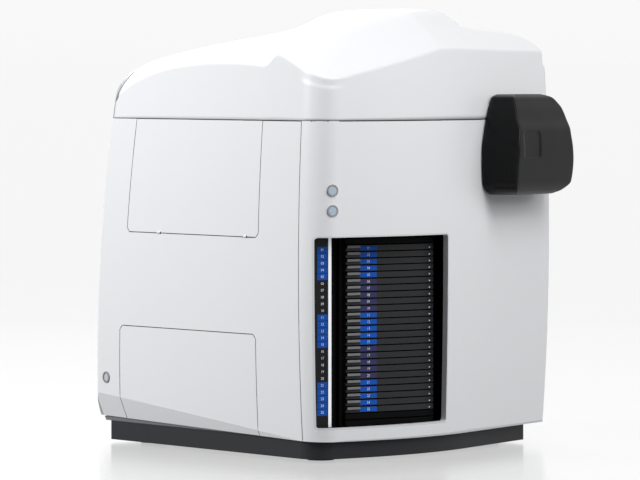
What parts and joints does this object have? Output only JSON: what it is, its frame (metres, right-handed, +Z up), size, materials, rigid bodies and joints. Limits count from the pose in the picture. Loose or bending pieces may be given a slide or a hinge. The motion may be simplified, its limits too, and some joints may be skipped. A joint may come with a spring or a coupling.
{
  "type": "digital slide scanner",
  "caption": "Enclosed bench-top digital slide scanner with a sculpted white hood, a side lamp housing and a front loading window full of pull-out slide trays.",
  "frame": {"origin": "middle of the outline on the surface it stands on", "axes": "+Z up; the loading window faces -Y, the access flaps are on -X, the lamp housing is at the front toward +X"},
  "size_m": [0.5256, 0.5118, 0.6053],
  "materials": {
    "white_cover": "satin painted moulding",
    "grey_rear": "satin",
    "dark_plinth": "fine textured powder coat",
    "foot_rubber": "matte",
    "chassis_steel": "matte",
    "window_rim": "satin",
    "divider_alu": "satin anodised",
    "scale_print": "printed film",
    "button_chrome": "polished",
    "button_face": "polished",
    "power_face": "satin",
    "black_metal": "matte",
    "smoked_acrylic": "polished, see-through",
    "lamp_matte_black": "fine grain",
    "lamp_gloss_black": "polished",
    "cast_aluminium": "bead blasted",
    "steel_black": "blackened",
    "guide_steel": "ground",
    "tray_plastic": "fine grain"
  },
  "bodies": {
    "body": {"side_cover_left": "white_cover", "front_cover": "white_cover", "side_cover_right": "white_cover", "rear_cover": "grey_rear", "plinth": "dark_plinth", "feet": "foot_rubber", "chassis": "chassis_steel", "window_frame": "window_rim", "divider_bar": "divider_alu", "position_scale": "scale_print", "button_bezels": "button_chrome", "magazine_rack": "black_metal", "hatch_tracks": "black_metal", "lamp_housing": "lamp_matte_black", "lamp_end_cap": "lamp_gloss_black", "light_tube": "black_metal", "microscope_stand": "cast_aluminium", "camera": "lamp_matte_black", "condenser": "steel_black", "elevator_guide": "guide_steel", "power_supply": "chassis_steel"},
    "hood": {"hood": "white_cover"},
    "upper_flap": {"upper_flap": "white_cover"},
    "lower_panel": {"lower_panel": "white_cover"},
    "start_button": {"start_button": "button_face"},
    "open_button": {"open_button": "button_face"},
    "power_button": {"power_button": "power_face"},
    "hatch": {"hatch": "smoked_acrylic"},
    "objective_turret": {"objective_turret": "steel_black"},
    "reflector_turret": {"reflector_turret": "steel_black"},
    "stage_y": {"stage_y_carriage": "cast_aluminium"},
    "stage_x": {"stage_x_carriage": "cast_aluminium"},
    "elevator": {"elevator_carriage": "cast_aluminium"},
    "gripper": {"tray_gripper": "guide_steel"},
    "fan_rotor": {"fan_rotor": "lamp_matte_black"},
    "tray_01": {"tray_01": "tray_plastic"},
    "tray_02": {"tray_02": "tray_plastic"},
    "tray_03": {"tray_03": "tray_plastic"},
    "tray_04": {"tray_04": "tray_plastic"},
    "tray_05": {"tray_05": "tray_plastic"},
    "tray_06": {"tray_06": "tray_plastic"},
    "tray_07": {"tray_07": "tray_plastic"},
    "tray_08": {"tray_08": "tray_plastic"},
    "tray_09": {"tray_09": "tray_plastic"},
    "tray_10": {"tray_10": "tray_plastic"},
    "tray_11": {"tray_11": "tray_plastic"},
    "tray_12": {"tray_12": "tray_plastic"},
    "tray_13": {"tray_13": "tray_plastic"},
    "tray_14": {"tray_14": "tray_plastic"},
    "tray_15": {"tray_15": "tray_plastic"},
    "tray_16": {"tray_16": "tray_plastic"},
    "tray_17": {"tray_17": "tray_plastic"},
    "tray_18": {"tray_18": "tray_plastic"},
    "tray_19": {"tray_19": "tray_plastic"},
    "tray_20": {"tray_20": "tray_plastic"},
    "tray_21": {"tray_21": "tray_plastic"},
    "tray_22": {"tray_22": "tray_plastic"},
    "tray_23": {"tray_23": "tray_plastic"},
    "tray_24": {"tray_24": "tray_plastic"},
    "tray_25": {"tray_25": "tray_plastic"}
  },
  "joints": [
    {"name": "tray_01_slide", "type": "slide", "parent": "body", "child": "tray_01", "axis": [0, -1, 0], "range_m": [0, 0.1]},
    {"name": "tray_02_slide", "type": "slide", "parent": "body", "child": "tray_02", "axis": [0, -1, 0], "range_m": [0, 0.1]},
    {"name": "tray_03_slide", "type": "slide", "parent": "body", "child": "tray_03", "axis": [0, -1, 0], "range_m": [0, 0.1]},
    {"name": "tray_04_slide", "type": "slide", "parent": "body", "child": "tray_04", "axis": [0, -1, 0], "range_m": [0, 0.1]},
    {"name": "tray_05_slide", "type": "slide", "parent": "body", "child": "tray_05", "axis": [0, -1, 0], "range_m": [0, 0.1]},
    {"name": "tray_06_slide", "type": "slide", "parent": "body", "child": "tray_06", "axis": [0, -1, 0], "range_m": [0, 0.1]},
    {"name": "tray_07_slide", "type": "slide", "parent": "body", "child": "tray_07", "axis": [0, -1, 0], "range_m": [0, 0.1]},
    {"name": "tray_08_slide", "type": "slide", "parent": "body", "child": "tray_08", "axis": [0, -1, 0], "range_m": [0, 0.1]},
    {"name": "tray_09_slide", "type": "slide", "parent": "body", "child": "tray_09", "axis": [0, -1, 0], "range_m": [0, 0.1]},
    {"name": "tray_10_slide", "type": "slide", "parent": "body", "child": "tray_10", "axis": [0, -1, 0], "range_m": [0, 0.1]},
    {"name": "tray_11_slide", "type": "slide", "parent": "body", "child": "tray_11", "axis": [0, -1, 0], "range_m": [0, 0.1]},
    {"name": "tray_12_slide", "type": "slide", "parent": "body", "child": "tray_12", "axis": [0, -1, 0], "range_m": [0, 0.1]},
    {"name": "tray_13_slide", "type": "slide", "parent": "body", "child": "tray_13", "axis": [0, -1, 0], "range_m": [0, 0.1]},
    {"name": "tray_14_slide", "type": "slide", "parent": "body", "child": "tray_14", "axis": [0, -1, 0], "range_m": [0, 0.1]},
    {"name": "tray_15_slide", "type": "slide", "parent": "body", "child": "tray_15", "axis": [0, -1, 0], "range_m": [0, 0.1]},
    {"name": "tray_16_slide", "type": "slide", "parent": "body", "child": "tray_16", "axis": [0, -1, 0], "range_m": [0, 0.1]},
    {"name": "tray_17_slide", "type": "slide", "parent": "body", "child": "tray_17", "axis": [0, -1, 0], "range_m": [0, 0.1]},
    {"name": "tray_18_slide", "type": "slide", "parent": "body", "child": "tray_18", "axis": [0, -1, 0], "range_m": [0, 0.1]},
    {"name": "tray_19_slide", "type": "slide", "parent": "body", "child": "tray_19", "axis": [0, -1, 0], "range_m": [0, 0.1]},
    {"name": "tray_20_slide", "type": "slide", "parent": "body", "child": "tray_20", "axis": [0, -1, 0], "range_m": [0, 0.1]},
    {"name": "tray_21_slide", "type": "slide", "parent": "body", "child": "tray_21", "axis": [0, -1, 0], "range_m": [0, 0.1]},
    {"name": "tray_22_slide", "type": "slide", "parent": "body", "child": "tray_22", "axis": [0, -1, 0], "range_m": [0, 0.1]},
    {"name": "tray_23_slide", "type": "slide", "parent": "body", "child": "tray_23", "axis": [0, -1, 0], "range_m": [0, 0.1]},
    {"name": "tray_24_slide", "type": "slide", "parent": "body", "child": "tray_24", "axis": [0, -1, 0], "range_m": [0, 0.1]},
    {"name": "tray_25_slide", "type": "slide", "parent": "body", "child": "tray_25", "axis": [0, -1, 0], "range_m": [0, 0.1]},
    {"name": "upper_flap_hinge", "type": "hinge", "parent": "body", "child": "upper_flap", "pos_m": [-0.2519, 0.02865, 0.2966], "axis": [0.0131, -0.9999, 0], "range_deg": [0, 95]},
    {"name": "lower_panel_pull", "type": "slide", "parent": "body", "child": "lower_panel", "axis": [-1, 0, 0], "range_m": [0, 0.08]},
    {"name": "hood_lift", "type": "slide", "parent": "body", "child": "hood", "axis": [0, 0, 1], "range_m": [0, 0.16]},
    {"name": "start_button_press", "type": "slide", "parent": "body", "child": "start_button", "axis": [0.1908, 0.9816, 0], "range_m": [0, 0.0015], "stiffness_N_per_m": 200, "springref_m": -0.002},
    {"name": "open_button_press", "type": "slide", "parent": "body", "child": "open_button", "axis": [0.1908, 0.9816, 0], "range_m": [0, 0.0015], "stiffness_N_per_m": 200, "springref_m": -0.002},
    {"name": "power_button_press", "type": "slide", "parent": "body", "child": "power_button", "axis": [1, 0, 0], "range_m": [0, 0.0015], "stiffness_N_per_m": 200, "springref_m": -0.002},
    {"name": "hatch_turn", "type": "hinge", "parent": "body", "child": "hatch", "pos_m": [-0.1272, 0.1779, 0.168], "axis": [0, 0, 1], "range_deg": [-30, 0]},
    {"name": "objective_turret_turn", "type": "hinge", "parent": "body", "child": "objective_turret", "pos_m": [0.1168, 0.0744, 0.326], "axis": [0, 0, 1], "continuous": true},
    {"name": "reflector_turret_turn", "type": "hinge", "parent": "body", "child": "reflector_turret", "pos_m": [0.1448, 0.0694, 0.357], "axis": [0, 0, 1], "continuous": true},
    {"name": "stage_y_slide", "type": "slide", "parent": "body", "child": "stage_y", "axis": [0, 1, 0], "range_m": [-0.03, 0.03]},
    {"name": "stage_x_slide", "type": "slide", "parent": "stage_y", "child": "stage_x", "axis": [1, 0, 0], "range_m": [-0.045, 0.04]},
    {"name": "elevator_lift", "type": "slide", "parent": "body", "child": "elevator", "axis": [0, 0, 1], "range_m": [0, 0.216]},
    {"name": "gripper_slide", "type": "slide", "parent": "elevator", "child": "gripper", "axis": [0, 1, 0], "range_m": [0, 0.08]},
    {"name": "fan_spin", "type": "hinge", "parent": "body", "child": "fan_rotor", "pos_m": [0.1718, 0.2414, 0.18], "axis": [0, 1, 0], "continuous": true}
  ]
}
